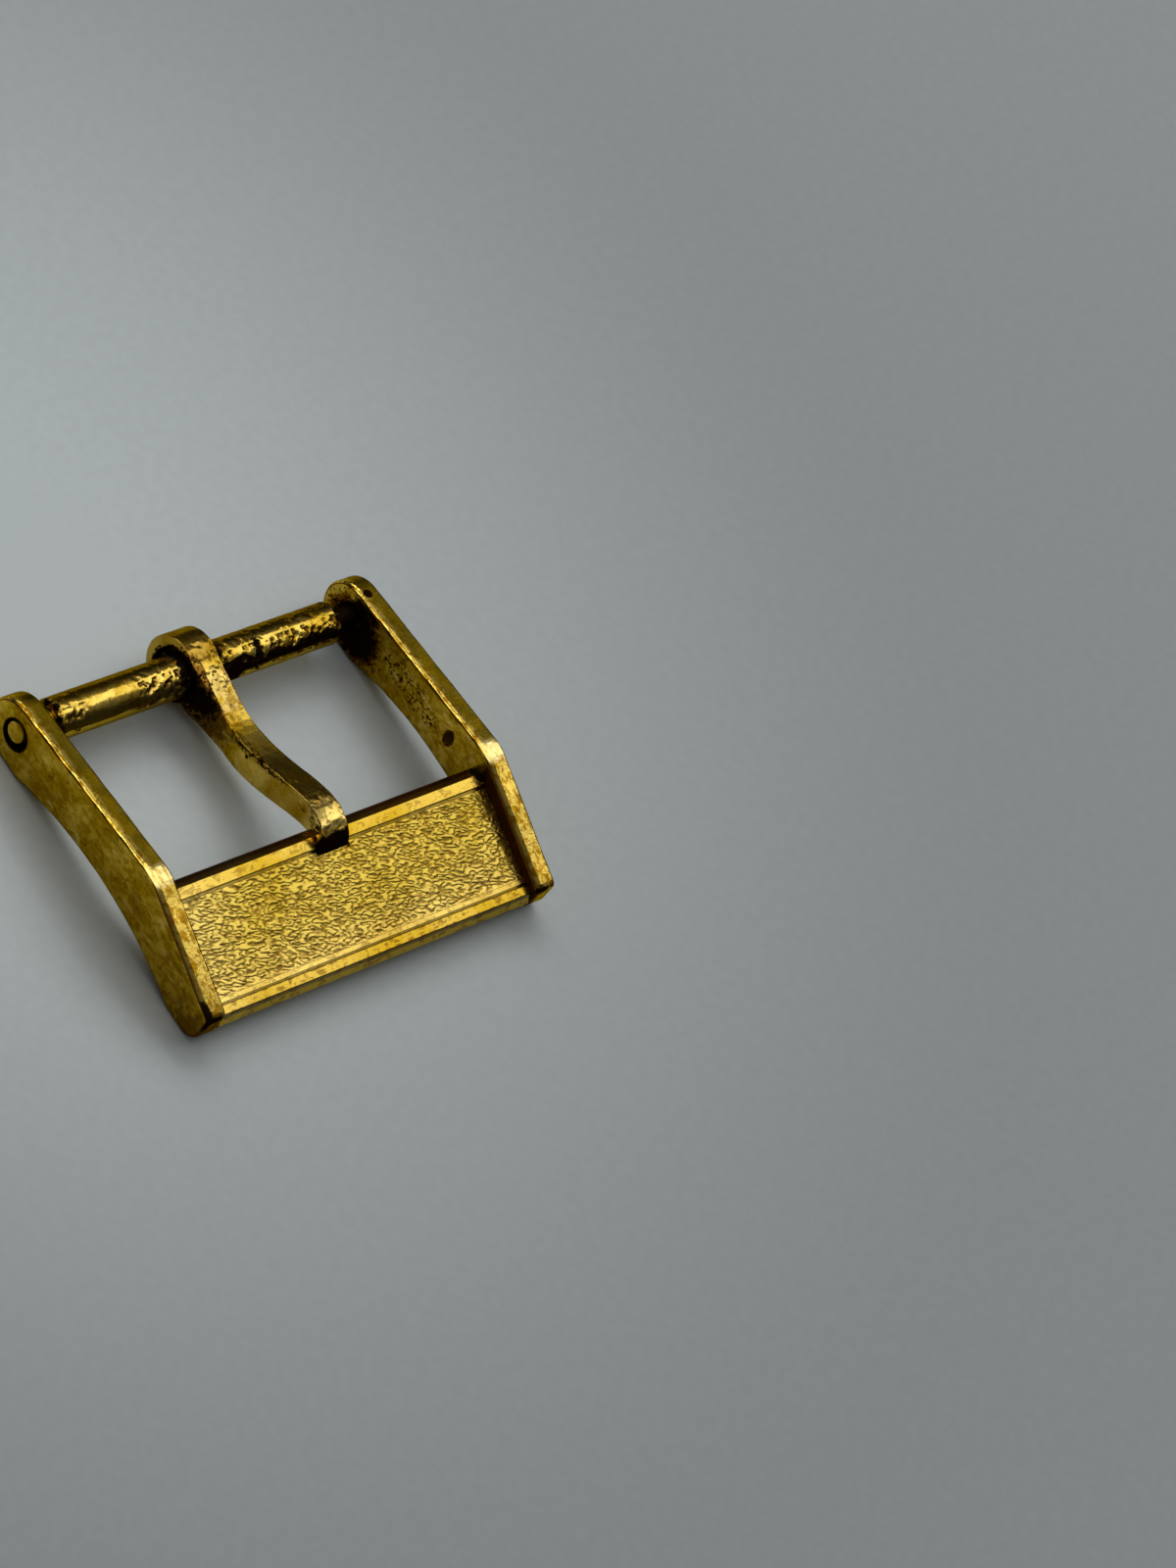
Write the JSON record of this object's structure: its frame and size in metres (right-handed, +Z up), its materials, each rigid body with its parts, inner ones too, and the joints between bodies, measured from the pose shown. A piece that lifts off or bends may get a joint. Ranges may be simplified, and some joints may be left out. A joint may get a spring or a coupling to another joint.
{
  "type": "watch buckle",
  "caption": "Gold-coloured tang buckle for a watch strap, with flat cheeks, a sloping grained front plate, a hinged tongue and a sprung strap bar.",
  "frame": {"origin": "on the surface the buckle lies on, under the centre of its box", "axes": "+X along the strap bar from the left cheek to the right one, -Y towards the front plate, +Z up through the plate's grained face"},
  "size_m": [0.0178, 0.0148, 0.0035],
  "materials": {
    "cheek_gold": "polished gold plate, worn, with brown patina",
    "plate_gold": "polished ridges and a fine grained field, gold plated",
    "tongue_gold": "polished gold plate, worn at the knuckle",
    "bar_gold": "polished gold plate, pitted",
    "pivot_gold": "gold plate, dull and stained",
    "spring_steel": "drawn spring wire"
  },
  "bodies": {
    "frame": {"left_cheek": "cheek_gold", "right_cheek": "cheek_gold", "front_plate": "plate_gold"},
    "tongue": {"tongue": "tongue_gold"},
    "bar": {"bar_tube": "bar_gold", "bar_spring": "spring_steel"},
    "left_pivot": {"left_pivot": "pivot_gold"},
    "right_pivot": {"right_pivot": "pivot_gold"}
  },
  "joints": [
    {"name": "tongue_hinge", "type": "hinge", "parent": "frame", "child": "tongue", "pos_m": [0, 0.00575, 0.00145], "axis": [-1, 0, 0], "range_deg": [0, 170]},
    {"name": "bar_spin", "type": "hinge", "parent": "frame", "child": "bar", "pos_m": [0, 0.00575, 0.00145], "axis": [1, 0, 0], "continuous": true},
    {"name": "left_pivot_press", "type": "slide", "parent": "bar", "child": "left_pivot", "axis": [1, 0, 0], "range_m": [0, 0.001], "stiffness_N_per_m": 400, "springref_m": -0.0015, "deforming": ["bar_spring"]},
    {"name": "right_pivot_press", "type": "slide", "parent": "bar", "child": "right_pivot", "axis": [-1, 0, 0], "range_m": [0, 0.001], "stiffness_N_per_m": 400, "springref_m": -0.0015, "deforming": ["bar_spring"]}
  ]
}
